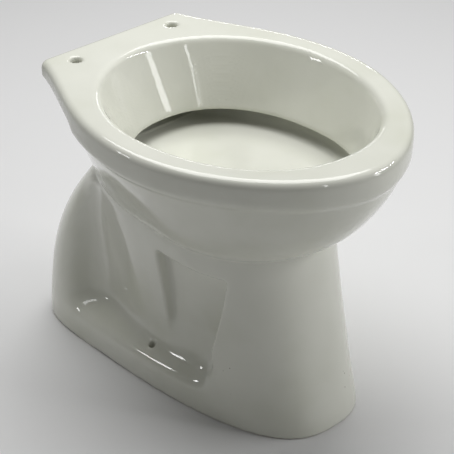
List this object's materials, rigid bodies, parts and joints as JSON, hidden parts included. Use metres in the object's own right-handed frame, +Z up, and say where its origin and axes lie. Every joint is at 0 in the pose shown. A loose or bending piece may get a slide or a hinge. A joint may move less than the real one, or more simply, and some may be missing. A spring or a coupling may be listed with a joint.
{
  "type": "floor-standing toilet pan",
  "caption": "Bare ceramic floor-standing toilet pan with flat flush rim, rear deck with seat holes, scooped pedestal and an upright outlet inside the foot.",
  "frame": {"origin": "middle of the bounding box in plan, on the floor", "axes": "+Z up, +Y towards the rear deck and the flush inlet, -Y towards the front of the rim, x = 0 is the plane of symmetry"},
  "size_m": [0.3694, 0.534, 0.39],
  "materials": {
    "glaze": "glossy pale greenish-grey cream glaze on vitreous china"
  },
  "bodies": {
    "root": {"rim_and_deck": "glaze", "bowl": "glaze", "pedestal": "glaze", "trap": "glaze", "outlet_horn": "glaze", "flush_inlet": "glaze", "water_spreader": "glaze"}
  },
  "joints": []
}
